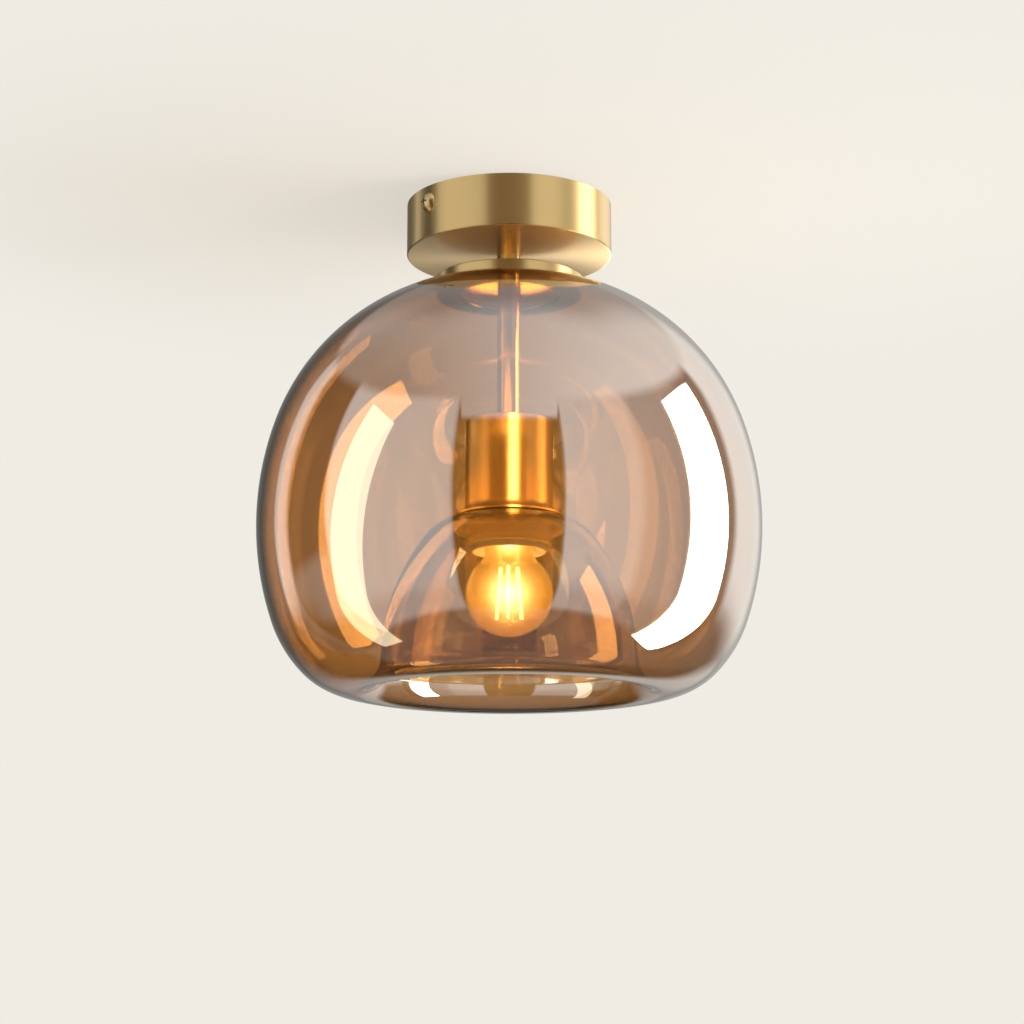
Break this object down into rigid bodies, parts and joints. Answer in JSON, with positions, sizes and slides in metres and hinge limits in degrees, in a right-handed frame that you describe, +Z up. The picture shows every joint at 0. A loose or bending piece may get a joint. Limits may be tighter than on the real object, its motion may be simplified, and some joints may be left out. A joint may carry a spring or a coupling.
{
  "type": "glass ceiling light",
  "caption": "Semi-flush ceiling light: a blown cognac-glass globe with an inner dome hangs on a brass stem from a round canopy, lit by a globe bulb.",
  "frame": {"origin": "centre of the mounting bracket's upper face, where it meets the ceiling, on the axis of the stem", "axes": "+Z up into the ceiling, the light hangs along -Z; the bracket, its slots and the two side screws lie along X; the terminal block is on the -X side; Y across the bracket"},
  "size_m": [0.26, 0.26, 0.26],
  "materials": {
    "satin_brass": "satin, brushed round the axis, lacquered",
    "turned_brass": "plain turned brass",
    "plated_steel": "zinc plated",
    "terminal_plastic": "moulded",
    "earth_sleeve": "green sleeve with a yellow stripe",
    "live_sleeve": "brown sleeve",
    "neutral_sleeve": "blue sleeve",
    "gasket_rubber": "soft, matt",
    "seal_silicone": "soft, translucent",
    "holder_plastic": "moulded, cream",
    "ceramic": "glazed steatite",
    "cognac_glass": "blown, tinted cognac, gloss",
    "ring_plastic": "moulded, turned-look, lit amber",
    "bulb_metal": "nickel plated",
    "bulb_black_glass": "black glass insulator",
    "amber_bulb_glass": "amber tinted, gloss",
    "clear_glass": "clear",
    "filament": "phosphor coated, glowing",
    "lead_wire": "drawn wire"
  },
  "bodies": {
    "root": {"mounting_bracket": "plated_steel", "earth_screw": "turned_brass", "terminal_block": "terminal_plastic", "terminal_tubes": "turned_brass", "terminal_screws": "plated_steel", "block_screw": "plated_steel", "canopy": "satin_brass", "canopy_screws": "turned_brass", "threaded_rod": "plated_steel", "canopy_washer": "plated_steel", "canopy_nut": "turned_brass", "earth_wire": "earth_sleeve", "live_wire": "live_sleeve", "neutral_wire": "neutral_sleeve", "stem_spacer": "satin_brass", "glass_cap": "satin_brass", "cap_gasket": "gasket_rubber", "stem_tube": "satin_brass", "holder_cup": "satin_brass", "cup_nut": "turned_brass", "holder_cap": "holder_plastic", "holder_insert": "ceramic", "holder_terminals": "turned_brass", "holder_sleeve": "holder_plastic", "thread_shell": "turned_brass", "centre_contact": "turned_brass", "upper_seal": "seal_silicone"},
    "shade": {"glass_shade": "cognac_glass", "lower_seal": "seal_silicone"},
    "ring": {"shade_ring": "ring_plastic"},
    "bulb_lift": {"bulb_contact": "bulb_metal"},
    "bulb": {"bulb_insulator": "bulb_black_glass", "bulb_shell": "bulb_metal", "bulb_glass": "amber_bulb_glass", "bulb_mount": "clear_glass", "bulb_filaments": "filament", "filament_supports": "lead_wire"}
  },
  "joints": [
    {"name": "shade_lower", "type": "slide", "parent": "root", "child": "shade", "axis": [0, 0, -1], "range_m": [0, 0.01]},
    {"name": "ring_turn", "type": "hinge", "parent": "shade", "child": "ring", "pos_m": [0, 0, -0.1774], "axis": [0, 0, -1], "range_deg": [0, 1440]},
    {"name": "bulb_lower", "type": "slide", "parent": "root", "child": "bulb_lift", "axis": [0, 0, -1], "range_m": [0, 0.01452]},
    {"name": "bulb_turn", "type": "hinge", "parent": "bulb_lift", "child": "bulb", "pos_m": [0, 0, -0.158], "axis": [0, 0, -1], "range_deg": [0, 1440]}
  ],
  "couplings": [
    {"joint": "ring_turn", "follows": "shade_lower", "rad_per_m": 2513.3},
    {"joint": "bulb_turn", "follows": "bulb_lower", "rad_per_m": 1730.9}
  ]
}
